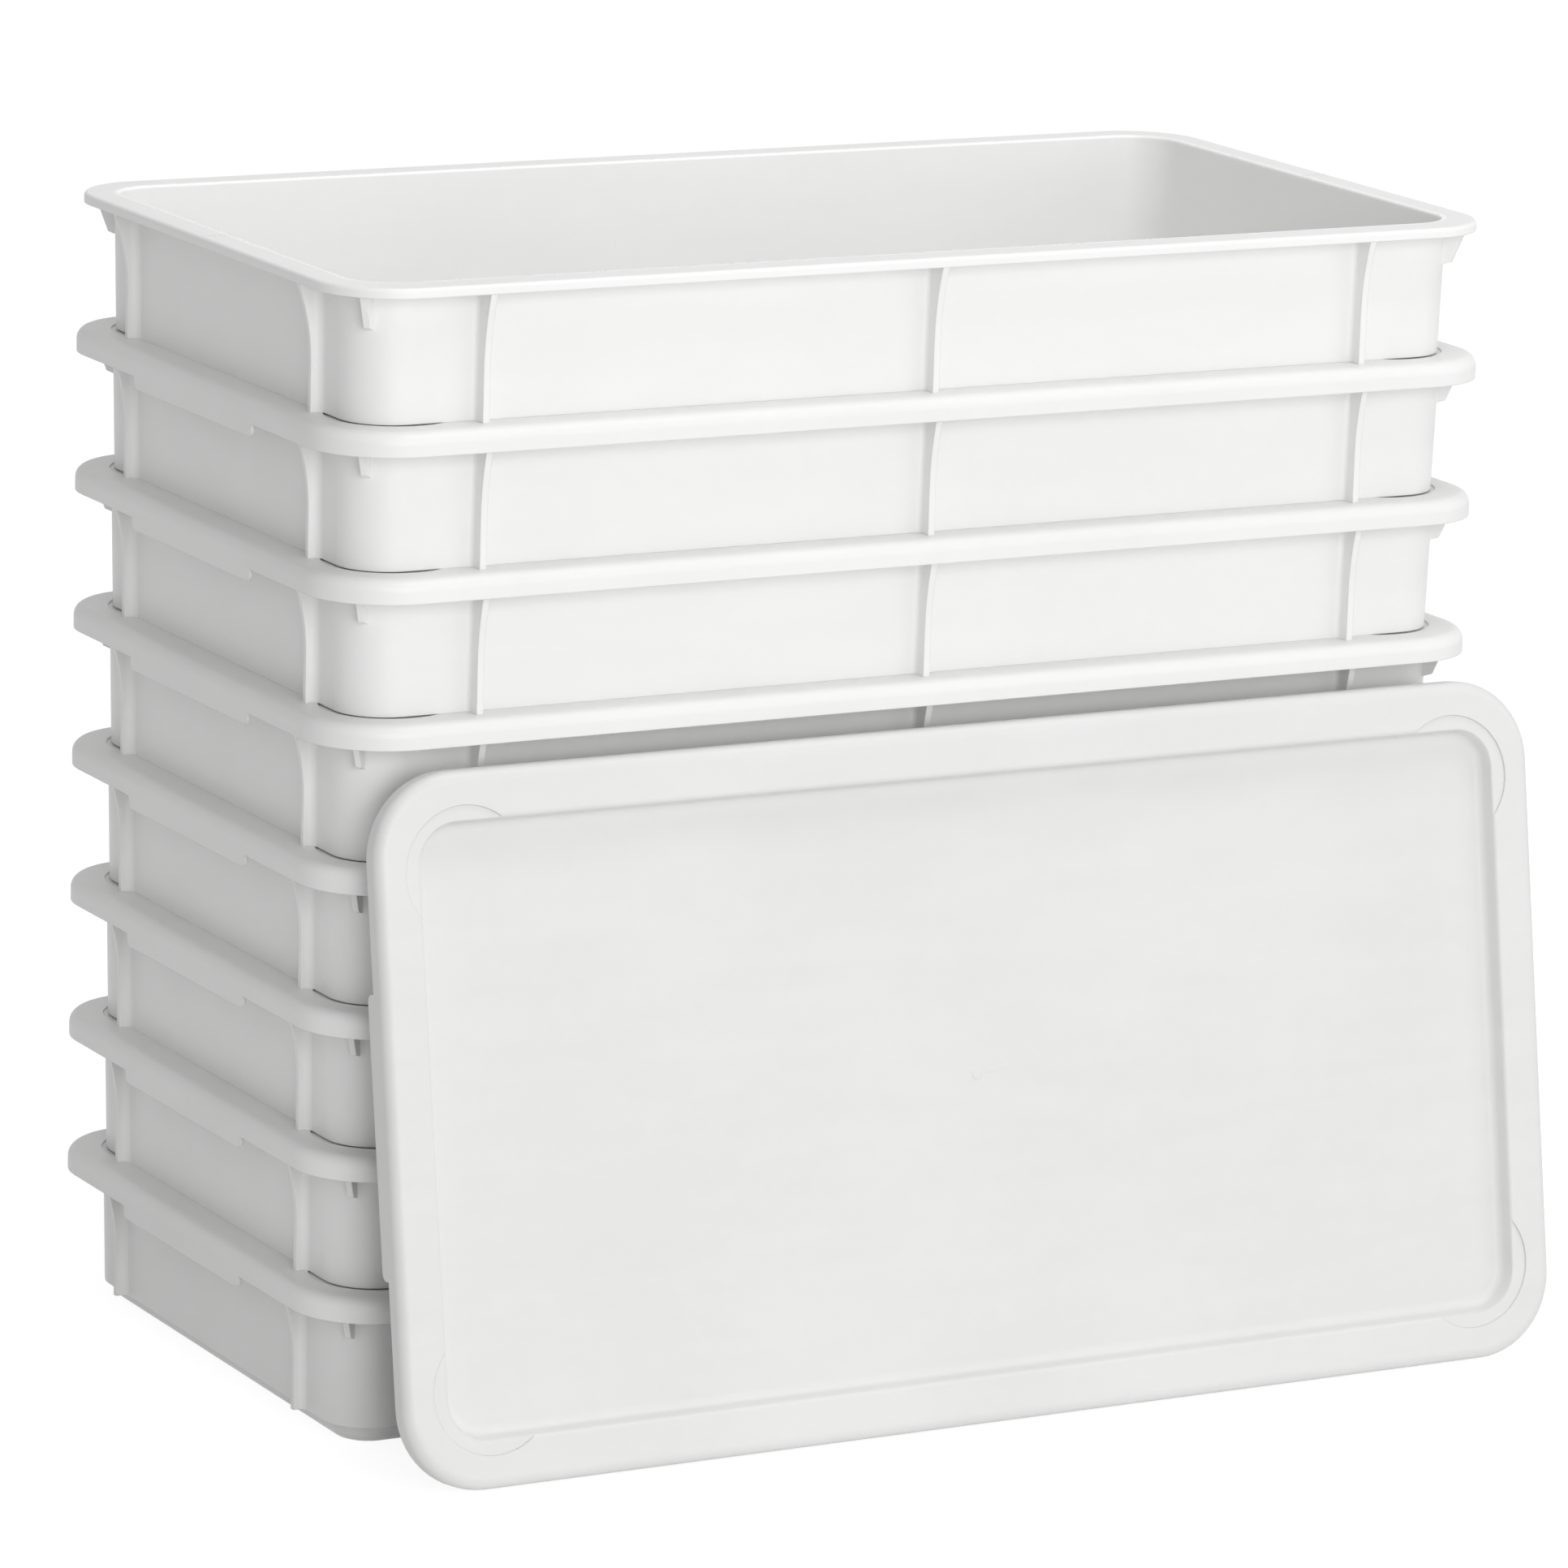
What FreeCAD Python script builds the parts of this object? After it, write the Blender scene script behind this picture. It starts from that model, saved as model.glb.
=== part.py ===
import FreeCAD, Part
import collections
import math
import os
import Sketcher

# A set of eight dough tubs with eight lids. The tubs stand in one stack with a lid between each two,
# the top tub is open, and the eighth lid leans at the front of the stack with its tray side outwards.
# Origin: middle of the bottom tub's underside, on the floor. X runs along the tubs, Y to the back, Z up.

TUB_COUNT = 8

SIZES = {
    # Tub
    "rim_length": 644.0,
    "rim_width": 340.0,
    "rim_corner": 39.0,
    "rim_lip": 5.0,
    "rim_plate": 2.6,
    "lip_wall": 2.4,
    "rim_round": 2.0,
    "mouth_round": 1.0,
    "end_flange": 16.5,
    "side_flange": 18.0,
    "mouth_corner": 24.0,
    "tub_height": 78.0,
    "wall": 2.4,
    "wall_draft": 1.5,
    "tub_floor": 2.4,
    "floor_round": 5.0,
    "foot_height": 9.5,
    "shelf_rise": 4.0,
    # Ribs, gussets and the moulded line on the flange
    "rib_spacing": 245.0,
    "side_rib_wall": 3.5,
    "side_rib_depth": 8.5,
    "side_rib_root": 2.5,
    "end_rib_offset": 21.0,
    "end_rib_wall": 3.0,
    "end_rib_depth": 6.0,
    "end_rib_root": 4.0,
    "rib_straight": 24.0,
    "gusset_wall": 3.2,
    "gusset_drop": 21.0,
    "gusset_toe": 4.5,
    "flange_line_width": 1.4,
    "flange_line_depth": 0.9,
    # Lid
    "skirt_depth": 12.0,
    "skirt_wall": 2.0,
    "lid_plate": 2.4,
    "edge_round": 6.0,
    "channel_round": 2.0,
    "recess_slope": 2.5,
    "recess_round": 2.6,
    "panel_round": 5.0,
    "tab_length": 138.0,
    "tab_drop": 6.2,
    "tab_round": 4.0,
    "crescent_width": 6.0,
    "crescent_shift": 5.0,
    "crescent_edge": 0.8,
    "crescent_depth": 1.1,
    "gate_diameter": 6.0,
    "gate_height": 0.4,
    # Fits between tub and lid
    "rim_clearance": 1.0,
    "mouth_clearance": 0.6,
    "nest_clearance": 0.8,
    "seat_clearance": 0.5,
    # Leaning lid
    "lean_angle": 9.5,
    "lean_shift": 12.0,
    "lean_clearance": 0.5,
    "floor_clearance": 0.3,
}

Outline = collections.namedtuple("Outline", "half_length half_width corner")


def grown(outline, amount):
    """Returns the outline moved outwards by an amount, as formulas."""
    return Outline(*(f"({term} + ({amount}))" for term in outline))


def shrunk(outline, amount):
    """Returns the outline moved inwards by an amount, as formulas."""
    return Outline(*(f"({term} - ({amount}))" for term in outline))


# Heights in the tub's own frame
RIM_UNDERSIDE = "(Sizes.tub_height - Sizes.rim_plate)"
LIP_BOTTOM = "(Sizes.tub_height - Sizes.rim_lip)"
SHELF_TOP = "(Sizes.foot_height + Sizes.shelf_rise)"

# Heights in the lid's own frame, which starts at the top of the rim that carries it
RECESS_DEPTH = "(Sizes.foot_height + Sizes.seat_clearance)"
PANEL_TOP = f"(Sizes.lid_plate - {RECESS_DEPTH})"
SKIRT_BELOW = "(Sizes.skirt_depth - Sizes.lid_plate)"
SKIRT_BOTTOM = "(Sizes.lid_plate - Sizes.skirt_depth)"

# Height from one tub to the next: the step above the foot rests on the band of the lid below
PITCH = "(Sizes.tub_height + Sizes.lid_plate - Sizes.foot_height)"

# Plan outlines, all tied to the tub's rim
RIM = Outline("(Sizes.rim_length / 2)", "(Sizes.rim_width / 2)", "Sizes.rim_corner")
MOUTH = Outline(
    "(Sizes.rim_length / 2 - Sizes.end_flange)",
    "(Sizes.rim_width / 2 - Sizes.side_flange)",
    "Sizes.mouth_corner",
)
WALL_TOP = grown(MOUTH, "Sizes.wall")
WALL_BOTTOM = grown(MOUTH, "Sizes.wall - Sizes.wall_draft")
TRAY_TOP = shrunk(MOUTH, "Sizes.mouth_clearance")
TRAY_BOTTOM = shrunk(TRAY_TOP, "Sizes.recess_slope")
RECESS_TOP = shrunk(TRAY_TOP, "Sizes.lid_plate")
RECESS_BOTTOM = shrunk(TRAY_BOTTOM, "Sizes.lid_plate")
FOOT_TOP = shrunk(RECESS_TOP, "Sizes.nest_clearance")
FOOT_BOTTOM = shrunk(RECESS_BOTTOM, "Sizes.nest_clearance")
LID = grown(RIM, "Sizes.rim_clearance + Sizes.skirt_wall")

# The end ribs stand a little way in from where the corners of the wall begin
END_RIB_PLACE = f"({MOUTH.half_width} - {MOUTH.corner} - Sizes.end_rib_offset)"

doc = FreeCAD.newDocument("DoughTubs")
sheet = doc.addObject("Spreadsheet::Sheet", "Sizes")
for row, (alias, number) in enumerate(SIZES.items(), start=1):
    sheet.set(f"A{row}", alias)
    sheet.set(f"B{row}", str(number))
    sheet.setAlias(f"B{row}", alias)
doc.recompute()


def value(formula):
    """Returns the number that a formula gives with the sheet's sizes."""
    return float(sheet.evalExpression(formula))


def new_body(name):
    """Adds an empty body whose label names its file."""
    body = doc.addObject("PartDesign::Body", name)
    body.Label = name
    return body


def origin_part(body, role):
    """Returns the plane or axis of a body's origin that has the given role."""
    return next(part for part in body.Origin.OriginFeatures if part.Role == role)


def new_sketch(body, name, role, height=None):
    """Adds a sketch on an origin plane, moved along the plane's normal by a formula."""
    sketch = body.newObject("Sketcher::SketchObject", name)
    sketch.AttachmentSupport = [(origin_part(body, role), "")]
    sketch.MapMode = "FlatFace"
    if height is not None:
        sketch.setExpression("AttachmentOffset.Base.z", height)
    return sketch


def bind(sketch, name, constraint, formula):
    """Adds a dimension to a sketch and ties it to a formula."""
    index = sketch.addConstraint(Sketcher.Constraint(*constraint, value(formula)))
    sketch.renameConstraint(index, name)
    sketch.setExpression(f"Constraints.{name}", formula)


def place_point(sketch, name, edge, end, across, along):
    """Ties one end of an edge to a place in the sketch; a formula below zero is measured backwards."""
    for axis, formula in (("X", across), ("Y", along)):
        if value(formula) >= 0:
            bind(sketch, f"{name}_{axis}", (f"Distance{axis}", -1, 1, edge, end), formula)
        else:
            bind(sketch, f"{name}_{axis}", (f"Distance{axis}", edge, end, -1, 1), f"-({formula})")


def rounded_rectangle(body, name, outline, height):
    """Adds a rounded rectangle about the origin, parallel to the floor."""
    sketch = new_sketch(body, name, "XY_Plane", height)
    length, width, corner = (value(term) for term in outline)
    flat_x = length - corner
    flat_y = width - corner
    up = FreeCAD.Vector(0, 0, 1)
    lines = (
        ((-flat_x, -width), (flat_x, -width)),
        ((length, -flat_y), (length, flat_y)),
        ((flat_x, width), (-flat_x, width)),
        ((-length, flat_y), (-length, -flat_y)),
    )
    centres = ((flat_x, -flat_y), (flat_x, flat_y), (-flat_x, flat_y), (-flat_x, -flat_y))
    for start, end in lines:
        sketch.addGeometry(Part.LineSegment(FreeCAD.Vector(*start, 0), FreeCAD.Vector(*end, 0)))
    for quarter, centre in enumerate(centres):
        circle = Part.Circle(FreeCAD.Vector(*centre, 0), up, corner)
        start = math.radians(90 * (quarter - 1))
        sketch.addGeometry(Part.ArcOfCircle(circle, start, start + math.radians(90)))
    for side in range(4):
        arc = 4 + side
        sketch.addConstraint(Sketcher.Constraint("Tangent", side, 2, arc, 1))
        sketch.addConstraint(Sketcher.Constraint("Tangent", arc, 2, (side + 1) % 4, 1))
        sketch.addConstraint(Sketcher.Constraint("Horizontal" if side % 2 == 0 else "Vertical", side))
    for arc in (5, 6, 7):
        sketch.addConstraint(Sketcher.Constraint("Equal", 4, arc))
    bind(sketch, "corner", ("Radius", 4), outline.corner)
    bind(sketch, "front", ("DistanceY", 0, 1, -1, 1), outline.half_width)
    bind(sketch, "right", ("DistanceX", -1, 1, 1, 1), outline.half_length)
    bind(sketch, "back", ("DistanceY", -1, 1, 2, 1), outline.half_width)
    bind(sketch, "left", ("DistanceX", 3, 1, -1, 1), outline.half_length)
    return sketch


def polygon(sketch, points):
    """Draws a closed outline of straight edges through points given as formulas."""
    places = [FreeCAD.Vector(value(across), value(along), 0) for across, along in points]
    count = len(points)
    for index in range(count):
        sketch.addGeometry(Part.LineSegment(places[index], places[(index + 1) % count]))
    for index in range(count):
        sketch.addConstraint(Sketcher.Constraint("Coincident", index, 2, (index + 1) % count, 1))
    for index, (across, along) in enumerate(points):
        place_point(sketch, f"corner_{index}", index, 1, across, along)


def rib_profile(sketch, root, depth, reach):
    """Draws a rib: straight at the bottom, then flaring in an arc to the underside of the rim."""
    bottom = value("Sizes.foot_height")
    bend = value("Sizes.foot_height + Sizes.rib_straight")
    top = value(RIM_UNDERSIDE)
    inner, outer, tip = value(root), value(depth), value(reach)
    radius = ((top - bend) ** 2 + (tip - outer) ** 2) / (2 * (tip - outer))
    sweep = Part.Arc(
        FreeCAD.Vector(outer, bend, 0),
        FreeCAD.Vector(outer + radius - (radius ** 2 - ((top - bend) / 2) ** 2) ** 0.5, (top + bend) / 2, 0),
        FreeCAD.Vector(tip, top, 0),
    )
    sketch.addGeometry(Part.LineSegment(FreeCAD.Vector(inner, bottom, 0), FreeCAD.Vector(outer, bottom, 0)))
    sketch.addGeometry(Part.LineSegment(FreeCAD.Vector(outer, bottom, 0), FreeCAD.Vector(outer, bend, 0)))
    sketch.addGeometry(sweep)
    sketch.addGeometry(Part.LineSegment(FreeCAD.Vector(tip, top, 0), FreeCAD.Vector(inner, top, 0)))
    sketch.addGeometry(Part.LineSegment(FreeCAD.Vector(inner, top, 0), FreeCAD.Vector(inner, bottom, 0)))
    # The arc turns clockwise seen from the front, so its second end is the lower one
    for constraint in (
        ("Coincident", 0, 2, 1, 1),
        ("Tangent", 1, 2, 2, 2),
        ("Coincident", 2, 1, 3, 1),
        ("Coincident", 3, 2, 4, 1),
        ("Coincident", 4, 2, 0, 1),
        ("Vertical", 1),
    ):
        sketch.addConstraint(Sketcher.Constraint(*constraint))
    place_point(sketch, "root", 0, 1, root, "Sizes.foot_height")
    place_point(sketch, "outer", 1, 1, depth, "Sizes.foot_height")
    bind(sketch, "bend_Y", ("DistanceY", -1, 1, 1, 2), "Sizes.foot_height + Sizes.rib_straight")
    place_point(sketch, "tip", 3, 1, reach, RIM_UNDERSIDE)
    place_point(sketch, "top_root", 4, 1, root, RIM_UNDERSIDE)


def pad(body, name, sketch, length, downward=False, symmetric=False):
    """Raises a sketch into a solid."""
    feature = body.newObject("PartDesign::Pad", name)
    feature.Profile = sketch
    feature.setExpression("Length", length)
    feature.Reversed = downward
    if symmetric:
        feature.SideType = "Symmetric"
    return feature


def pocket(body, name, sketch, depth, upward=False):
    """Cuts a sketch into the solid."""
    feature = body.newObject("PartDesign::Pocket", name)
    feature.Profile = sketch
    feature.setExpression("Length", depth)
    feature.Reversed = upward
    return feature


def loft(body, name, kind, sections):
    """Joins outlines at several heights with straight walls, as a solid or as a cut."""
    sketches = [
        rounded_rectangle(body, f"{name}Outline{index}", outline, height)
        for index, (outline, height) in enumerate(sections)
    ]
    feature = body.newObject(f"PartDesign::{kind}Loft", name)
    feature.Profile = sketches[0]
    feature.Sections = sketches[1:]
    feature.Ruled = True
    return feature


def repeated(body, name, original, *steps):
    """Repeats a feature by the given mirrors and rows, one after the other."""
    feature = body.newObject("PartDesign::MultiTransform", name)
    feature.Originals = [original]
    feature.Transformations = list(steps)
    body.Tip = feature
    return feature


def mirror(body, name, role):
    """Adds a mirror step about a plane of the body's origin."""
    step = doc.addObject("PartDesign::Mirrored", name)
    body.addObject(step)
    step.MirrorPlane = (origin_part(body, role), [""])
    return step


def on_outline(point, length, width, corner):
    """Tells whether a point lies on a rounded rectangle, seen from above."""
    past_x = max(abs(point.x) - (length - corner), 0)
    past_y = max(abs(point.y) - (width - corner), 0)
    on_corner = abs((past_x ** 2 + past_y ** 2) ** 0.5 - corner) < 0.02
    on_side = past_y == 0 and abs(abs(point.x) - length) < 0.02
    on_front = past_x == 0 and abs(abs(point.y) - width) < 0.02
    return on_corner or on_side or on_front


def level_edges(feature, outline, height):
    """Returns the names of a solid's edges that run along an outline at one height."""
    level = value(height)
    extents = [value(term) for term in outline]
    names = []
    for index, edge in enumerate(feature.Shape.Edges, start=1):
        box = edge.BoundBox
        middle = edge.valueAt((edge.FirstParameter + edge.LastParameter) / 2)
        if abs(box.ZMin - level) < 0.01 and abs(box.ZMax - level) < 0.01 and on_outline(middle, *extents):
            names.append(f"Edge{index}")
    return names


def root_edges(feature, along, across, wall, places):
    """Returns the names of the upright edges where ribs at the given places meet a wall.

    The ribs stand in a row along one axis. The wall faces across it, between two distances from the middle.
    """
    bottom, top = (value(term) for term in wall)
    faces = [value(place) for place in places]
    names = []
    for index, edge in enumerate(feature.Shape.Edges, start=1):
        ends = [vertex.Point for vertex in edge.Vertexes]
        upright = abs(ends[0].z - ends[-1].z) > value("Sizes.rib_straight")
        at_rib = all(min(abs(abs(getattr(end, along)) - face) for face in faces) < 0.01 for end in ends)
        on_wall = all(bottom - 0.01 < abs(getattr(end, across)) < top + 0.01 for end in ends)
        if upright and at_rib and on_wall:
            names.append(f"Edge{index}")
    return names


def fillet(body, name, base, edges, radius):
    """Rounds the named edges of a feature."""
    feature = body.newObject("PartDesign::Fillet", name)
    feature.Base = (base, edges)
    feature.setExpression("Radius", radius)
    return feature


def build_tub(name):
    """Builds a tub: flanged rim with a lip, drafted walls, stepped foot, ribs and gussets."""
    body = new_body(name)
    rim_outline = rounded_rectangle(body, "RimOutline", RIM, "Sizes.tub_height")
    pad(body, "Rim", rim_outline, "Sizes.rim_lip", downward=True)
    lip_inside = shrunk(RIM, "Sizes.lip_wall")
    hollow = rounded_rectangle(body, "LipInside", lip_inside, LIP_BOTTOM)
    pocket(body, "RimHollow", hollow, "Sizes.rim_lip - Sizes.rim_plate", upward=True)
    loft(body, "Wall", "Additive", ((WALL_BOTTOM, "Sizes.foot_height"), (WALL_TOP, "Sizes.tub_height")))
    foot = loft(body, "Foot", "Additive", ((FOOT_BOTTOM, "0"), (FOOT_TOP, "Sizes.foot_height")))
    doc.recompute()
    # The foot's edge is rounder than the corner of the lid's tray that it stands in
    foot_edges = level_edges(foot, FOOT_BOTTOM, "0")
    fillet(body, "FootRound", foot, foot_edges, "Sizes.panel_round + Sizes.nest_clearance")
    add_side_ribs(body)
    add_end_ribs(body)
    add_gussets(body)
    cavity = loft(body, "Cavity", "Subtractive", (
        (shrunk(FOOT_BOTTOM, "Sizes.wall"), "Sizes.tub_floor"),
        (shrunk(FOOT_TOP, "Sizes.wall"), "Sizes.foot_height"),
        (shrunk(WALL_BOTTOM, "Sizes.wall"), SHELF_TOP),
        (MOUTH, "Sizes.tub_height"),
    ))
    doc.recompute()
    floor_edges = level_edges(cavity, shrunk(FOOT_BOTTOM, "Sizes.wall"), "Sizes.tub_floor")
    inside = fillet(body, "FloorRound", cavity, floor_edges, "Sizes.floor_round")
    doc.recompute()
    mouth_edges = level_edges(inside, MOUTH, "Sizes.tub_height")
    mouth = fillet(body, "MouthRound", inside, mouth_edges, "Sizes.mouth_round")
    doc.recompute()
    rim_edges = level_edges(mouth, RIM, "Sizes.tub_height")
    fillet(body, "RimRound", mouth, rim_edges, "Sizes.rim_round")
    add_flange_line(body)
    return body


def add_side_ribs(body):
    """Adds three thin ribs on each long side."""
    sketch = new_sketch(body, "SideRibProfile", "YZ_Plane", "-Sizes.rib_spacing")
    depth = f"{WALL_BOTTOM.half_width} + Sizes.side_rib_depth"
    reach = f"{RIM.half_width} - Sizes.lip_wall / 2"
    rib_profile(sketch, MOUTH.half_width, depth, reach)
    rib = pad(body, "SideRib", sketch, "Sizes.side_rib_wall", symmetric=True)
    row = doc.addObject("PartDesign::LinearPattern", "SideRibRow")
    body.addObject(row)
    row.Direction = (origin_part(body, "X_Axis"), [""])
    row.setExpression("Length", "2 * Sizes.rib_spacing")
    row.Occurrences = 3
    ribs = repeated(body, "SideRibs", rib, row, mirror(body, "SideRibMirror", "XZ_Plane"))
    doc.recompute()
    half = "Sizes.side_rib_wall / 2"
    places = (half, f"Sizes.rib_spacing - {half}", f"Sizes.rib_spacing + {half}")
    roots = root_edges(ribs, "x", "y", (WALL_BOTTOM.half_width, WALL_TOP.half_width), places)
    fillet(body, "SideRibRoots", ribs, roots, "Sizes.side_rib_root")


def add_end_ribs(body):
    """Adds two ribs on each short end, which carry the wide grip flange."""
    sketch = new_sketch(body, "EndRibProfile", "XZ_Plane", END_RIB_PLACE)
    depth = f"{WALL_BOTTOM.half_length} + Sizes.end_rib_depth"
    reach = f"{RIM.half_length} - Sizes.lip_wall / 2"
    rib_profile(sketch, MOUTH.half_length, depth, reach)
    rib = pad(body, "EndRib", sketch, "Sizes.end_rib_wall", symmetric=True)
    sides = (mirror(body, "EndRibAcross", "XZ_Plane"), mirror(body, "EndRibAlong", "YZ_Plane"))
    ribs = repeated(body, "EndRibs", rib, *sides)
    doc.recompute()
    half = "Sizes.end_rib_wall / 2"
    places = (f"{END_RIB_PLACE} - {half}", f"{END_RIB_PLACE} + {half}")
    roots = root_edges(ribs, "y", "x", (WALL_BOTTOM.half_length, WALL_TOP.half_length), places)
    fillet(body, "EndRibRoots", ribs, roots, "Sizes.end_rib_root")


def add_gussets(body):
    """Adds a small slanting web under each corner of the rim."""
    sketch = new_sketch(body, "GussetProfile", "XZ_Plane")
    diagonal = FreeCAD.Rotation(FreeCAD.Vector(0, 1, 0), 45)
    sketch.AttachmentOffset = FreeCAD.Placement(FreeCAD.Vector(), diagonal)
    sketch.setExpression("AttachmentOffset.Base.x", f"{MOUTH.half_length} - Sizes.mouth_corner")
    sketch.setExpression("AttachmentOffset.Base.z", f"Sizes.mouth_corner - {MOUTH.half_width}")
    corner_shift = "Sizes.end_flange + Sizes.side_flange + 2 * Sizes.mouth_corner - 2 * Sizes.rim_corner"
    reach = f"({corner_shift}) / sqrt(2) + Sizes.rim_corner - 1.5 * Sizes.lip_wall"
    bottom = f"{RIM_UNDERSIDE} - Sizes.gusset_drop"
    polygon(sketch, (
        ("Sizes.mouth_corner", RIM_UNDERSIDE),
        ("Sizes.mouth_corner", bottom),
        (f"{WALL_TOP.corner} + Sizes.gusset_toe", f"{bottom} + Sizes.gusset_toe / 2"),
        (reach, RIM_UNDERSIDE),
    ))
    web = pad(body, "Gusset", sketch, "Sizes.gusset_wall", symmetric=True)
    sides = (mirror(body, "GussetAcross", "XZ_Plane"), mirror(body, "GussetAlong", "YZ_Plane"))
    repeated(body, "Gussets", web, *sides)


def add_flange_line(body):
    """Cuts the fine moulded line across the middle of each end flange."""
    sketch = new_sketch(body, "FlangeLineOutline", "XY_Plane", "Sizes.tub_height")
    half = "Sizes.flange_line_width / 2"
    inner = f"{MOUTH.half_length} - Sizes.wall"
    outer = f"{RIM.half_length} + Sizes.wall"
    polygon(sketch, ((inner, f"-{half}"), (outer, f"-{half}"), (outer, half), (inner, half)))
    line = pocket(body, "FlangeLine", sketch, "Sizes.flange_line_depth")
    repeated(body, "FlangeLines", line, mirror(body, "FlangeLineAlong", "YZ_Plane"))


def build_lid(name):
    """Builds a lid: rounded edge and skirt, flat band, sunk panel, corner crescents and finger tabs."""
    body = new_body(name)
    cap_outline = rounded_rectangle(body, "CapOutline", LID, "Sizes.lid_plate")
    cap = pad(body, "Cap", cap_outline, "Sizes.skirt_depth", downward=True)
    doc.recompute()
    fillet(body, "EdgeRound", cap, level_edges(cap, LID, "Sizes.lid_plate"), "Sizes.edge_round")
    skirt_inside = rounded_rectangle(body, "SkirtInside", shrunk(LID, "Sizes.skirt_wall"), SKIRT_BOTTOM)
    channel = pocket(body, "Channel", skirt_inside, SKIRT_BELOW, upward=True)
    doc.recompute()
    channel_edges = level_edges(channel, shrunk(LID, "Sizes.skirt_wall"), "0")
    fillet(body, "ChannelRound", channel, channel_edges, "Sizes.channel_round")
    tray_bottom = f"{PANEL_TOP} - Sizes.lid_plate"
    loft(body, "Tray", "Additive", ((TRAY_TOP, "0"), (TRAY_BOTTOM, tray_bottom)))
    recess_levels = ((RECESS_TOP, "Sizes.lid_plate"), (RECESS_BOTTOM, PANEL_TOP))
    recess = loft(body, "Recess", "Subtractive", recess_levels)
    doc.recompute()
    panel_edges = level_edges(recess, RECESS_BOTTOM, PANEL_TOP)
    panel = fillet(body, "PanelRound", recess, panel_edges, "Sizes.panel_round")
    doc.recompute()
    mouth_edges = level_edges(panel, RECESS_TOP, "Sizes.lid_plate")
    fillet(body, "RecessRound", panel, mouth_edges, "Sizes.recess_round")
    add_crescents(body)
    add_tabs(body)
    add_gate(body)
    return body


def add_crescents(body):
    """Cuts a shallow crescent outside each corner of the recess, sloping down into it."""
    sketch = new_sketch(body, "CrescentProfile", "XZ_Plane")
    centre_inset = f"{RECESS_TOP.corner} + Sizes.crescent_shift / sqrt(2)"
    sketch.setExpression("AttachmentOffset.Base.x", f"{RECESS_TOP.half_length} - ({centre_inset})")
    sketch.setExpression("AttachmentOffset.Base.z", f"{centre_inset} - {RECESS_TOP.half_width}")
    outer = f"({RECESS_TOP.corner} + Sizes.crescent_shift + Sizes.crescent_width)"
    inner = f"({RECESS_TOP.corner} - Sizes.recess_slope)"
    above = "Sizes.lid_plate + Sizes.crescent_depth"
    polygon(sketch, (
        (inner, above),
        (inner, "Sizes.lid_plate - Sizes.crescent_depth"),
        (outer, "Sizes.lid_plate - Sizes.crescent_edge"),
        (outer, above),
    ))
    crescent = body.newObject("PartDesign::Groove", "Crescent")
    crescent.Profile = sketch
    crescent.ReferenceAxis = (sketch, ["V_Axis"])
    crescent.Angle = 360
    sides = (mirror(body, "CrescentAcross", "XZ_Plane"), mirror(body, "CrescentAlong", "YZ_Plane"))
    repeated(body, "Crescents", crescent, *sides)


def add_tabs(body):
    """Adds the finger tab that hangs below the skirt in the middle of each short end."""
    sketch = new_sketch(body, "TabOutline", "YZ_Plane", LID.half_length)
    half = "Sizes.tab_length / 2"
    top = f"{SKIRT_BOTTOM} + Sizes.skirt_wall"
    bottom = f"{SKIRT_BOTTOM} - Sizes.tab_drop"
    polygon(sketch, ((f"-{half}", top), (f"-{half}", bottom), (half, bottom), (half, top)))
    tab = pad(body, "Tab", sketch, "Sizes.skirt_wall", downward=True)
    tabs = repeated(body, "Tabs", tab, mirror(body, "TabAlong", "YZ_Plane"))
    doc.recompute()
    corners = []
    for index, edge in enumerate(tabs.Shape.Edges, start=1):
        box = edge.BoundBox
        at_end = abs(abs(box.Center.y) - value(half)) < 0.01 and box.YLength < 0.01
        if at_end and abs(box.ZMin - value(bottom)) < 0.01 and box.ZLength < 0.01:
            corners.append(f"Edge{index}")
    fillet(body, "TabRound", tabs, corners, "Sizes.tab_round")


def level_circle(body, name, height, radius):
    """Adds a circle about the origin, parallel to the floor."""
    sketch = new_sketch(body, name, "XY_Plane", height)
    middle = FreeCAD.Vector(0, 0, 0)
    sketch.addGeometry(Part.Circle(middle, FreeCAD.Vector(0, 0, 1), value(radius)))
    sketch.addConstraint(Sketcher.Constraint("Coincident", 0, 3, -1, 1))
    bind(sketch, "radius", ("Radius", 0), radius)
    return sketch


def add_gate(body):
    """Adds the low nub where the plastic entered the mould, just clear of the tub above."""
    nub_outline = level_circle(body, "GateOutline", PANEL_TOP, "Sizes.gate_diameter / 2")
    nub = pad(body, "Gate", nub_outline, "Sizes.gate_height")
    nub.TaperAngle = -60


def copy_of(master, name):
    """Adds another piece of the same shape as a master piece."""
    body = new_body(name)
    body.BaseFeature = master
    return body


def stand(body, height):
    """Sets a piece at a height in the stack."""
    body.setExpression("Placement.Base.z", height)


def lean(body):
    """Leans a lid towards the stack, tray side outwards, its upper edge just in front of the lids' edges."""
    centre_z = (f"Sizes.floor_clearance + {LID.half_width} * cos(Sizes.lean_angle)"
                f" + {SKIRT_BELOW} * sin(Sizes.lean_angle)")
    back_edge = f"{LID.half_width} * sin(Sizes.lean_angle) + {SKIRT_BELOW} * cos(Sizes.lean_angle)"
    body.Placement = FreeCAD.Placement(FreeCAD.Vector(), FreeCAD.Rotation(FreeCAD.Vector(1, 0, 0), 90))
    body.setExpression("Placement.Rotation.Angle", "90 - Sizes.lean_angle")
    body.setExpression("Placement.Base.x", "Sizes.lean_shift")
    body.setExpression("Placement.Base.y", f"-({LID.half_width} + Sizes.lean_clearance + {back_edge})")
    body.setExpression("Placement.Base.z", centre_z)


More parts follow.
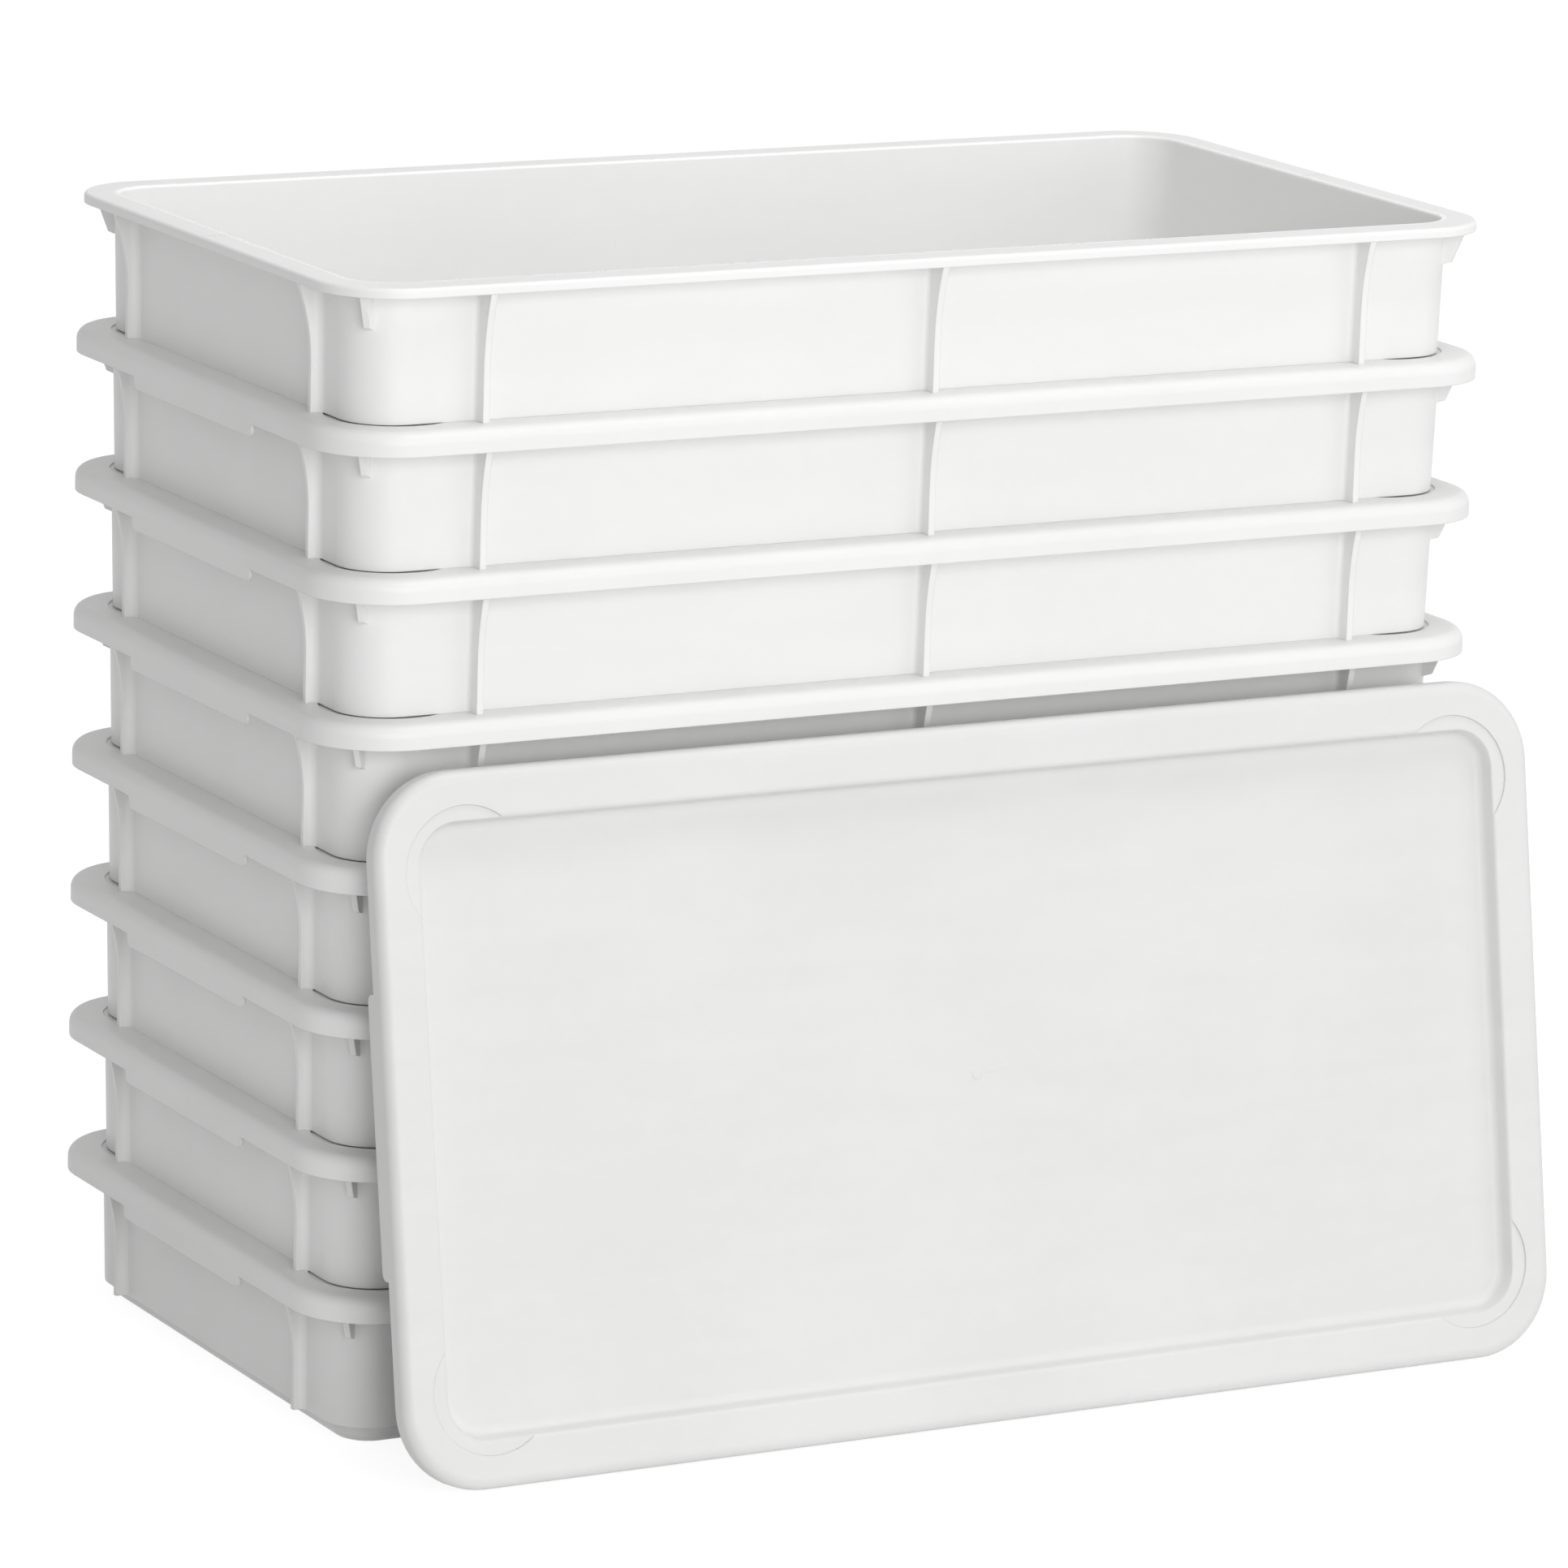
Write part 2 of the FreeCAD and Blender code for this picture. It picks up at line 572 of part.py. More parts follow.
def check(pieces):
    """Stops with a message where a feature failed or a piece is not one good solid."""
    for item in doc.Objects:
        if "Invalid" in item.State or "Error" in item.State:
            raise RuntimeError(f"{item.Name} failed: {item.State}")
    for piece in pieces:
        shape = piece.Shape
        if shape.isNull() or not shape.isValid() or len(shape.Solids) != 1:
            raise RuntimeError(f"{piece.Label} is not one good solid")


tub = build_tub("tub_1")
lid = build_lid("lid_1")
doc.recompute()
pieces = [tub, lid]
stand(lid, "Sizes.tub_height")
for level in range(1, TUB_COUNT):
    upper_tub = copy_of(tub, f"tub_{level + 1}")
    stand(upper_tub, f"{level} * {PITCH}")
    pieces.append(upper_tub)
for level in range(1, TUB_COUNT - 1):
    upper_lid = copy_of(lid, f"lid_{level + 1}")
    stand(upper_lid, f"Sizes.tub_height + {level} * {PITCH}")
    pieces.append(upper_lid)
leaning_lid = copy_of(lid, "leaning_lid")
lean(leaning_lid)
pieces.append(leaning_lid)
doc.recompute()

check(pieces)
os.makedirs("parts", exist_ok=True)
for piece in pieces:
    piece.Shape.exportStep(f"parts/{piece.Label}.step")
    print(f"{piece.Label}: {piece.Shape.Volume / 1000:.1f} cm3")
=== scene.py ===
"""Dresses a set of stacking dough tubs with their lids, and sets up the studio and the camera."""

import logging
import math
from dataclasses import dataclass, field, replace
from enum import Enum
from functools import partial, reduce
from typing import ClassVar

import bpy
from mathutils import Matrix, Vector


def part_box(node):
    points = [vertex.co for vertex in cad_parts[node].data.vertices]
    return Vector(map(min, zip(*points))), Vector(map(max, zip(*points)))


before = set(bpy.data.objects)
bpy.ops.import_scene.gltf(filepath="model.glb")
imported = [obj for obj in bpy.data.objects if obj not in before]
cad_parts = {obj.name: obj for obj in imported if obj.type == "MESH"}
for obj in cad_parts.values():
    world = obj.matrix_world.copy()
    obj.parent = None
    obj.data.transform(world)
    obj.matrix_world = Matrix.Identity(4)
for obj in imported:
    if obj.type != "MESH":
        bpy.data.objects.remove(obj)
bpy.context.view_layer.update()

log = logging.getLogger("dough_tubs")
Colour = tuple[float, float, float, float]
Place = tuple[float, float, float]
Span = tuple[float, float]
Socket = bpy.types.NodeSocket

WHITE: Colour = (1.0, 1.0, 1.0, 1.0)
NUMBER = "NodeSocketFloat"
COLOUR = "NodeSocketColor"
VECTOR = "NodeSocketVector"


class Moulding(Enum):
    """The kinds of moulded piece in the set, by the start of their names."""

    TUB = "tub_"
    LID = "lid_"
    LEANING_LID = "leaning_lid"


class Sheet:
    """A node tree with short ways to add nodes and links."""

    def __init__(self, tree: bpy.types.NodeTree) -> None:
        """Keeps the tree and empties it."""
        self.tree = tree
        self.tree.nodes.clear()

    def feed(self, socket: Socket, entry: object) -> None:
        """Links an output to an input socket, or sets the input to a plain value."""
        if isinstance(entry, Socket):
            self.tree.links.new(entry, socket)
        else:
            socket.default_value = entry

    def add(self, kind: str, settings: dict | None = None, **inputs: object) -> bpy.types.Node:
        """Adds a node and sets or links its inputs.

        Args:
            kind: Blender's name of the node's type.
            settings: Properties of the node, such as its operation.
            inputs: Values or output sockets by input name, with underscores for spaces,
                or by number as in_0, in_1.

        Returns:
            The new node.
        """
        node = self.tree.nodes.new(kind)
        for name, setting in (settings or {}).items():
            setattr(node, name, setting)
        for name, entry in inputs.items():
            number = name.removeprefix("in_")
            key = int(number) if number != name else name.replace("_", " ")
            self.feed(node.inputs[key], entry)
        return node

    def math(self, operation: str, *operands: object) -> Socket:
        """Adds one step of arithmetic and returns its result."""
        inputs = {f"in_{index}": operand for index, operand in enumerate(operands)}
        return self.add("ShaderNodeMath", {"operation": operation}, **inputs).outputs[0]

    def product(self, *entries: object) -> Socket:
        """Multiplies values and returns the result."""
        return reduce(partial(self.math, "MULTIPLY"), entries)

    def total(self, *shares: tuple[object, float]) -> Socket:
        """Adds up values, each times its share, and returns the sum."""
        terms = [self.product(entry, share) for entry, share in shares]
        return reduce(partial(self.math, "ADD"), terms)

    def noise(self, vector: object, scale: object, detail: float, rough: float) -> Socket:
        """Adds a noise texture and returns its value."""
        node = self.add("ShaderNodeTexNoise", Vector=vector, Scale=scale, Detail=detail,
                        Roughness=rough)
        return node.outputs[0]

    def rise(self, entry: object, span: Span) -> Socket:
        """Adds a smooth step from 0 at the span's start to 1 at its end and returns it."""
        low, high = span
        node = self.add("ShaderNodeMapRange", {"interpolation_type": "SMOOTHSTEP"}, Value=entry,
                        From_Min=low, From_Max=high)
        return node.outputs[0]

    def fade(self, entry: object, span: Span) -> Socket:
        """Adds a smooth step from 1 at the span's start to 0 at its end and returns it."""
        return self.math("SUBTRACT", 1.0, self.rise(entry, span))

    def mix(self, amount: object, first: object, second: object) -> Socket:
        """Adds a blend of two colours.

        Args:
            amount: How much of the second colour shows.
            first: Colour, or the socket that gives it.
            second: Colour, or the socket that gives it.

        Returns:
            The blended colour.
        """
        node = self.add("ShaderNodeMix", {"data_type": "RGBA"}, Factor=amount)
        sockets = [socket for socket in node.inputs if socket.type == "RGBA"]
        for socket, entry in zip(sockets, (first, second)):
            self.feed(socket, entry)
        return next(socket for socket in node.outputs if socket.type == "RGBA")


class EffectGroup:
    """A shader node group with named sockets that several finishes share."""

    title = "Effect"
    vectors: tuple[str, ...] = ("Vector",)
    colours: tuple[str, ...] = ()
    numbers: dict[str, float] = {}
    outputs: dict[str, str] = {}

    def __init__(self) -> None:
        """Makes the group with its sockets and fills it."""
        self.tree = bpy.data.node_groups.new(self.title, "ShaderNodeTree")
        self.sheet = Sheet(self.tree)
        sockets = self.tree.interface
        for names, kind in ((self.vectors, VECTOR), (self.colours, COLOUR)):
            for name in names:
                sockets.new_socket(name, in_out="INPUT", socket_type=kind)
        for name, number in self.numbers.items():
            socket = sockets.new_socket(name, in_out="INPUT", socket_type=NUMBER)
            socket.default_value = number
        for name, kind in self.outputs.items():
            sockets.new_socket(name, in_out="OUTPUT", socket_type=kind)
        self.entry = self.sheet.add("NodeGroupInput")
        self.exit = self.sheet.add("NodeGroupOutput")
        self.fill()

    def given(self, name: str) -> Socket:
        """Returns the group's own input of that name."""
        return self.entry.outputs[name]

    def give(self, name: str, socket: Socket) -> None:
        """Links a result to the group's output of that name."""
        self.tree.links.new(socket, self.exit.inputs[name])

    def fill(self) -> None:
        """Adds the group's nodes."""
        raise NotImplementedError

    def place(self, sheet: Sheet, **inputs: object) -> bpy.types.Node:
        """Places the group in a material with its own values.

        Args:
            sheet: The material's sheet.
            inputs: Values or sockets by input name.

        Returns:
            The group node.
        """
        return sheet.add("ShaderNodeGroup", {"node_tree": self.tree}, **inputs)


class MouldGrain(EffectGroup):
    """The fine texture that the mould leaves, and the gentle sinking of the walls."""

    title = "Mould grain"
    numbers = {"Grain Scale": 900.0, "Sink Scale": 11.0}
    outputs = {"Grain": NUMBER, "Sink": NUMBER, "Matt": NUMBER}
    patch_scale = 26.0
    patch_share = 0.65
    grain_share = 0.35

    def fill(self) -> None:
        """Adds a fine and a coarse noise, and lets the gloss drift with a third."""
        sheet = self.sheet
        place = self.given("Vector")
        grain = sheet.noise(place, self.given("Grain Scale"), detail=3.0, rough=0.6)
        sink = sheet.noise(place, self.given("Sink Scale"), detail=1.0, rough=0.4)
        patches = sheet.noise(place, self.patch_scale, detail=4.0, rough=0.55)
        self.give("Grain", grain)
        self.give("Sink", sink)
        self.give("Matt", sheet.total((patches, self.patch_share), (grain, self.grain_share)))


class ToneDrift(EffectGroup):
    """Slight clouding of the plastic, flow bands and the odd dark speck in it."""

    title = "Tone drift"
    colours = ("Light", "Shade")
    numbers = {"Cloud": 0.02, "Specks": 0.5}
    outputs = {"Color": COLOUR}
    broad_scale = 7.0
    broad_share = 0.5
    mottle_scale = 95.0
    mottle_share = 0.2
    flow_scale = 14.0
    flow_share = 0.3
    flow_stretch: Place = (1.0, 1.0, 5.0)
    cloud_span: Span = (0.30, 0.70)
    speck_scale = 24.0
    speck_chance: Span = (0.965, 0.97)
    speck_span: Span = (0.008, 0.022)
    speck_tone: Colour = (0.08, 0.078, 0.075, 1.0)

    def fill(self) -> None:
        """Blends the two tones by clouds of three sizes and darkens sparse points."""
        sheet = self.sheet
        place = self.given("Vector")
        broad = sheet.noise(place, self.broad_scale, detail=3.0, rough=0.5)
        mottle = sheet.noise(place, self.mottle_scale, detail=4.0, rough=0.6)
        stretched = sheet.add("ShaderNodeMapping", Vector=place, Scale=self.flow_stretch)
        flow = sheet.noise(stretched.outputs[0], self.flow_scale, detail=2.0, rough=0.5)
        clouds = sheet.total((broad, self.broad_share), (mottle, self.mottle_share),
                             (flow, self.flow_share))
        amount = sheet.product(sheet.rise(clouds, self.cloud_span), self.given("Cloud"))
        blended = sheet.mix(amount, self.given("Light"), self.given("Shade"))
        cells = sheet.add("ShaderNodeTexVoronoi", Vector=place, Scale=self.speck_scale,
                          Randomness=1.0)
        draw = sheet.add("ShaderNodeSeparateColor", Color=cells.outputs["Color"]).outputs[0]
        rare = sheet.rise(draw, self.speck_chance)
        near = sheet.fade(cells.outputs["Distance"], self.speck_span)
        speck = sheet.product(rare, near, self.given("Specks"))
        self.give("Color", sheet.mix(speck, blended, self.speck_tone))


class HandlingScuffs(EffectGroup):
    """Fine dull lines where the stacked pieces have rubbed on each other."""

    title = "Handling scuffs"
    numbers = {"Amount": 0.5}
    outputs = {"Scuff": NUMBER}
    turns_and_stretches: tuple[tuple[Place, Place], ...] = (
        ((0.2, 0.1, 0.35), (14.0, 520.0, 340.0)),
        ((0.5, -0.3, -0.2), (420.0, 16.0, 380.0)),
    )
    line_span: Span = (0.67, 0.74)
    patch_scale = 15.0
    patch_span: Span = (0.52, 0.72)

    def fill(self) -> None:
        """Cuts thin lines out of two stretched noises and keeps them in patches."""
        sheet = self.sheet
        place = self.given("Vector")
        strokes = []
        for turn, stretch in self.turns_and_stretches:
            mapped = sheet.add("ShaderNodeMapping", Vector=place, Rotation=turn, Scale=stretch)
            streaks = sheet.noise(mapped.outputs[0], 1.0, detail=1.0, rough=0.4)
            strokes.append(sheet.rise(streaks, self.line_span))
        lines = sheet.math("MAXIMUM", *strokes)
        clouds = sheet.noise(place, self.patch_scale, detail=3.0, rough=0.6)
        patches = sheet.rise(clouds, self.patch_span)
        self.give("Scuff", sheet.product(lines, patches, self.given("Amount")))


class SoftEdge(EffectGroup):
    """Normals rounded over the sharp edges, and a mask of the edges that handling has polished."""

    title = "Soft edge"
    vectors = ()
    numbers = {"Radius": 0.0008}
    outputs = {"Normal": VECTOR, "Edge": NUMBER}
    bevel_samples = 6
    edge_span: Span = (0.02, 0.25)

    def fill(self) -> None:
        """Compares the rounded normal with the plain one."""
        sheet = self.sheet
        settings = {"samples": self.bevel_samples}
        rounded = sheet.add("ShaderNodeBevel", settings, Radius=self.given("Radius")).outputs[0]
        plain = sheet.add("ShaderNodeNewGeometry").outputs["Normal"]
        along = sheet.add("ShaderNodeVectorMath", {"operation": "DOT_PRODUCT"},
                          in_0=rounded, in_1=plain)
        bent = sheet.math("SUBTRACT", 1.0, along.outputs["Value"])
        self.give("Normal", rounded)
        self.give("Edge", sheet.rise(bent, self.edge_span))


class GateFlow(EffectGroup):
    """The faint disc and streak that the plastic leaves where it entered the mould."""

    title = "Gate flow"
    numbers = {"Reach": 0.03}
    outputs = {"Flow": NUMBER}
    disc_span: Span = (0.05, 0.6)
    disc_share = 0.25
    streak_slope = 0.12
    streak_width: Span = (0.0003, 0.0016)
    streak_start: Span = (0.002, 0.006)
    streak_end: Span = (0.012, 0.027)
    streak_share = 0.7

    def fill(self) -> None:
        """Fades a soft disc with the distance from the gate, and a streak along its first axis."""
        sheet = self.sheet
        place = self.given("Vector")
        parts = sheet.add("ShaderNodeSeparateXYZ", Vector=place).outputs
        away = sheet.add("ShaderNodeVectorMath", {"operation": "LENGTH"}, in_0=place)
        share = sheet.math("DIVIDE", away.outputs["Value"], self.given("Reach"))
        disc = sheet.fade(share, self.disc_span)
        drift = sheet.product(parts[0], -self.streak_slope)
        height = sheet.math("ABSOLUTE", sheet.math("ADD", parts[2], drift))
        thin = sheet.fade(height, self.streak_width)
        ahead = sheet.product(sheet.rise(parts[0], self.streak_start),
                              sheet.fade(parts[0], self.streak_end))
        streak = sheet.product(thin, ahead)
        self.give("Flow", sheet.total((disc, self.disc_share), (streak, self.streak_share)))


class MouthHighlightAndGloss(EffectGroup):
    """A painted highlight along the inner edge of the tubs' mouths, which are also glossier there,
    polished by the lids that go in and out.
    """

    title = "Mouth painted highlight and gloss"
    numbers = {
        "Half Length": 0.3,
        "Half Width": 0.15,
        "Corner": 0.02,
        "Rim Top": 0.08,
        "Half Pitch": 0.035,
    }
    outputs = {"Polish": NUMBER}
    strip_middle = 0.0008
    strip_span: Span = (0.0010, 0.0022)
    level_span: Span = (0.0010, 0.0016)

    def fill(self) -> None:
        """Masks a narrow strip along a rounded rectangle at the top of every tub."""
        sheet = self.sheet
        parts = sheet.add("ShaderNodeSeparateXYZ", Vector=self.given("Vector")).outputs
        corner = self.given("Corner")
        past = []
        for part, half in zip(parts, ("Half Length", "Half Width")):
            flat = sheet.math("SUBTRACT", self.given(half), corner)
            past.append(sheet.math("SUBTRACT", sheet.math("ABSOLUTE", part), flat))
        squares = [sheet.math("POWER", sheet.math("MAXIMUM", entry, 0.0), 2.0) for entry in past]
        outside = sheet.math("SQRT", sheet.math("ADD", *squares))
        inside = sheet.math("MINIMUM", sheet.math("MAXIMUM", *past), 0.0)
        away = sheet.math("SUBTRACT", sheet.math("ADD", outside, inside), corner)
        strip = sheet.math("ABSOLUTE", sheet.math("SUBTRACT", away, self.strip_middle))
        above = sheet.math("SUBTRACT", parts[2], self.given("Rim Top"))
        nearest = sheet.math("PINGPONG", above, self.given("Half Pitch"))
        self.give("Polish", sheet.product(sheet.fade(strip, self.strip_span),
                                          sheet.fade(nearest, self.level_span)))


@dataclass(frozen=True)
class MouthSizes:
    """Where the mouths of the stacked tubs lie, in metres."""

    half_length: float = 0.3055
    half_width: float = 0.152
    corner: float = 0.024
    rim_top: float = 0.078
    pitch: float = 0.0709


@dataclass(frozen=True)
class Effects:
    """The effect groups, built once."""

    grain: MouldGrain = field(default_factory=MouldGrain)
    tone: ToneDrift = field(default_factory=ToneDrift)
    scuffs: HandlingScuffs = field(default_factory=HandlingScuffs)
    edge: SoftEdge = field(default_factory=SoftEdge)
    gate: GateFlow = field(default_factory=GateFlow)
    mouth: MouthHighlightAndGloss = field(default_factory=MouthHighlightAndGloss)


@dataclass(frozen=True)
class MouldedPlastic:
    """A finish of white moulded polypropylene."""

    refraction: ClassVar[float] = 1.49
    scuff_dulling: ClassVar[float] = 0.22
    edge_shine: ClassVar[float] = 0.05
    mouth_shine: ClassVar[float] = 0.12
    # This lighter tone on the mouth's edge is a painted highlight.
    mouth_highlight_tone: ClassVar[Colour] = (0.97, 0.97, 0.965, 1.0)
    gate_relief: ClassVar[float] = 2.5

    title: str
    light: Colour
    shade: Colour
    gloss_low: float
    gloss_high: float
    grain_scale: float
    grain_depth: float
    sink_depth: float
    cloud: float
    scuffs: float
    edge_radius: float
    gate: Place | None = None
    mouth: MouthSizes | None = None

    def material(self, effects: Effects) -> bpy.types.Material:
        """Builds the material.

        Args:
            effects: The shared effect groups.

        Returns:
            A material on Object coordinates.
        """
        made = bpy.data.materials.new(self.title)
        made.use_nodes = True
        sheet = Sheet(made.node_tree)
        place = sheet.add("ShaderNodeTexCoord").outputs["Object"]
        grain = effects.grain.place(sheet, Vector=place, Grain_Scale=self.grain_scale)
        tone = effects.tone.place(sheet, Vector=place, Cloud=self.cloud, Light=self.light,
                                  Shade=self.shade)
        scuff = effects.scuffs.place(sheet, Vector=place, Amount=self.scuffs)
        edge = effects.edge.place(sheet, Radius=self.edge_radius)
        colour = tone.outputs["Color"]
        height = grain.outputs["Grain"]
        spread = self.gloss_high - self.gloss_low
        gloss = sheet.math("MULTIPLY_ADD", grain.outputs["Matt"], spread, self.gloss_low)
        gloss = sheet.math("MULTIPLY_ADD", scuff.outputs["Scuff"], self.scuff_dulling, gloss)
        gloss = sheet.math("MULTIPLY_ADD", edge.outputs["Edge"], -self.edge_shine, gloss)
        if self.mouth is not None:
            highlight_and_gloss = self.mouth_highlight_and_gloss(sheet, effects, place)
            # The mouth's edge gets a lighter colour, which is a painted highlight, and a lower
            # roughness, where the lids rub it glossy.
            colour = sheet.mix(highlight_and_gloss, colour, self.mouth_highlight_tone)
            gloss = sheet.math("MULTIPLY_ADD", highlight_and_gloss, -self.mouth_shine, gloss)
        if self.gate is not None:
            shift = tuple(-number for number in self.gate)
            centred = sheet.add("ShaderNodeMapping", Vector=place, Location=shift).outputs[0]
            flow = effects.gate.place(sheet, Vector=centred).outputs["Flow"]
            height = sheet.math("MULTIPLY_ADD", flow, self.gate_relief, height)
        sunk = sheet.add("ShaderNodeBump", Height=grain.outputs["Sink"],
                         Distance=self.sink_depth, Strength=1.0, Normal=edge.outputs["Normal"])
        rough = sheet.add("ShaderNodeBump", Height=height, Distance=self.grain_depth,
                          Strength=1.0, Normal=sunk.outputs[0])
        shader = sheet.add("ShaderNodeBsdfPrincipled", Base_Color=colour, Roughness=gloss,
                           Normal=rough.outputs[0], IOR=self.refraction)
        sheet.add("ShaderNodeOutputMaterial", Surface=shader.outputs[0])
        return made

    def mouth_highlight_and_gloss(self, sheet: Sheet, effects: Effects, place: Socket) -> Socket:
        """Returns the mask of the painted highlight and the polished gloss along the edge around
        the mouths.
        """
        mouth = self.mouth
        node = effects.mouth.place(sheet, Vector=place, Half_Length=mouth.half_length,
                                   Half_Width=mouth.half_width, Corner=mouth.corner,
                                   Rim_Top=mouth.rim_top, Half_Pitch=mouth.pitch / 2)
        return node.outputs["Polish"]


@dataclass
class MouldedPieces:
    """Pieces of one kind that are shown as their CAD solids."""

    kind: Moulding
    finish: MouldedPlastic

    def dress(self, effects: Effects) -> None:
        """Gives every piece of the kind the finish.

        Args:
            effects: The shared effect groups.
        """
        material = self.finish.material(effects)
        for name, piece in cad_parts.items():
            if not name.startswith(self.kind.value):
                continue
            if not piece.material_slots:
                piece.data.materials.append(material)
            for slot in piece.material_slots:
                slot.material = material
            faces = len(piece.data.polygons)
            log.info("%s: %s, %d faces", piece.name, self.finish.title, faces)


@dataclass
class Lamp:
    """A square soft box, aimed at a point."""

    title: str
    place: Place
    aim: Place
    side: float
    power: float

    def build(self) -> None:
        """Adds the lamp."""
        data = bpy.data.lights.new(self.title, "AREA")
        data.shape = "SQUARE"
        data.size = self.side
        data.energy = self.power
        lamp = bpy.data.objects.new(self.title, data)
        bpy.context.scene.collection.objects.link(lamp)
        lamp.location = self.place
        towards = Vector(self.aim) - Vector(self.place)
        lamp.rotation_euler = towards.to_track_quat("-Z", "Y").to_euler()
        log.info("%s: %.0f W", self.title, self.power)


@dataclass
class Studio:
    """Pale floor, white surroundings and soft lamps."""

    floor_side: float = 40.0
    floor_tone: Colour = (0.85, 0.85, 0.85, 1.0)
    shadow_tone: Colour = (0.27, 0.27, 0.27, 1.0)
    floor_glow: float = 0.88
    ambient: Colour = (0.46, 0.46, 0.46, 1.0)
    lamps: tuple[Lamp, ...] = (
        Lamp("Key soft box", (-0.6, -3.9, 1.25), (0.0, -0.1, 0.3), side=2.4, power=64.0),
        Lamp("Fill soft box", (2.8, -2.6, 1.2), (0.0, -0.1, 0.25), side=2.0, power=13.0),
        Lamp("Top soft box", (0.7, -0.7, 3.2), (0.0, 0.0, 0.5), side=1.6, power=30.0),
    )

    def build(self) -> None:
        """Adds the floor, the surroundings and the lamps."""
        bpy.context.scene.view_settings.view_transform = "Standard"
        self.add_floor()
        self.add_world()
        for lamp in self.lamps:
            lamp.build()

    def split(self, sheet: Sheet, lighting: Socket, shown: Socket) -> Socket:
        """Lights the set with one shader and shows another.

        Args:
            sheet: The sheet of the floor or the surroundings.
            lighting: Shader for the rays that carry light to the set.
            shown: Shader for rays from the camera or from gloss and glass.

        Returns:
            The shader that joins them.
        """
        path = sheet.add("ShaderNodeLightPath").outputs
        direct = sheet.math("MAXIMUM", path["Is Camera Ray"], path["Is Glossy Ray"])
        seen = sheet.math("MAXIMUM", direct, path["Is Transmission Ray"])
        return sheet.add("ShaderNodeMixShader", in_0=seen, in_1=lighting, in_2=shown).outputs[0]

    def add_floor(self) -> None:
        """Adds a large pale floor that shows a soft shadow."""
        bpy.ops.object.select_all(action="DESELECT")
        bpy.ops.mesh.primitive_plane_add(size=self.floor_side)
        floor = bpy.context.active_object
        floor.name = "studio_floor"
        made = bpy.data.materials.new("Pale floor")
        made.use_nodes = True
        sheet = Sheet(made.node_tree)
        matt = sheet.add("ShaderNodeBsdfDiffuse", Color=self.floor_tone)
        shaded = sheet.add("ShaderNodeBsdfDiffuse", Color=self.shadow_tone)
        glow = sheet.add("ShaderNodeEmission", Color=WHITE, Strength=self.floor_glow)
        white = sheet.add("ShaderNodeAddShader", in_0=shaded.outputs[0], in_1=glow.outputs[0])
        surface = self.split(sheet, matt.outputs[0], white.outputs[0])
        sheet.add("ShaderNodeOutputMaterial", Surface=surface)
        floor.data.materials.append(made)

    def add_world(self) -> None:
        """Gives plain light from all round, seen as white by the camera."""
        world = bpy.data.worlds.new("Studio surroundings")
        world.use_nodes = True
        bpy.context.scene.world = world
        sheet = Sheet(world.node_tree)
        light = sheet.add("ShaderNodeBackground", Color=self.ambient, Strength=1.0)
        white = sheet.add("ShaderNodeBackground", Color=WHITE, Strength=1.0)
        surface = self.split(sheet, light.outputs[0], white.outputs[0])
        sheet.add("ShaderNodeOutputWorld", Surface=surface)


